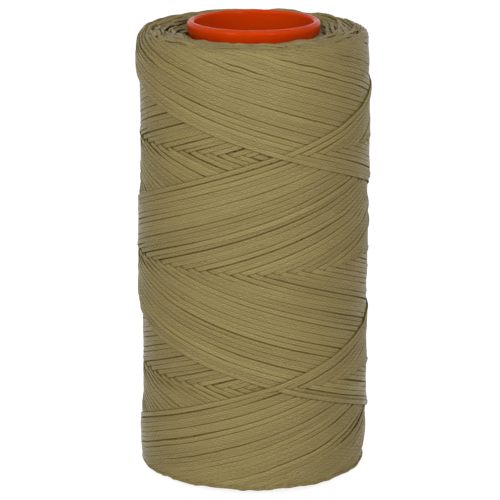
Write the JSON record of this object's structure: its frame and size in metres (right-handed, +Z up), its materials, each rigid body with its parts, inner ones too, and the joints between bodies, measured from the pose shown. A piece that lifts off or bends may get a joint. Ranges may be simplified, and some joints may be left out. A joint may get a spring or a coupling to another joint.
{
  "type": "waxed thread spool",
  "caption": "Cylindrical spool of flat waxed thread, cross-wound without flanges on a glossy plastic tube with an open bore.",
  "frame": {"origin": "centre of the tube's lower rim, on the axis of the bore", "axes": "+Z up the bore, +X to the right and -Y to the front as pictured"},
  "size_m": [0.0762, 0.0762, 0.151],
  "materials": {
    "tube_plastic": "glossy orange-red moulded plastic",
    "waxed_thread": "olive-beige braided polyester with a dull wax coat"
  },
  "bodies": {
    "root": {"core_tube": "tube_plastic", "inner_winding": "waxed_thread", "outer_winding": "waxed_thread"}
  },
  "joints": []
}
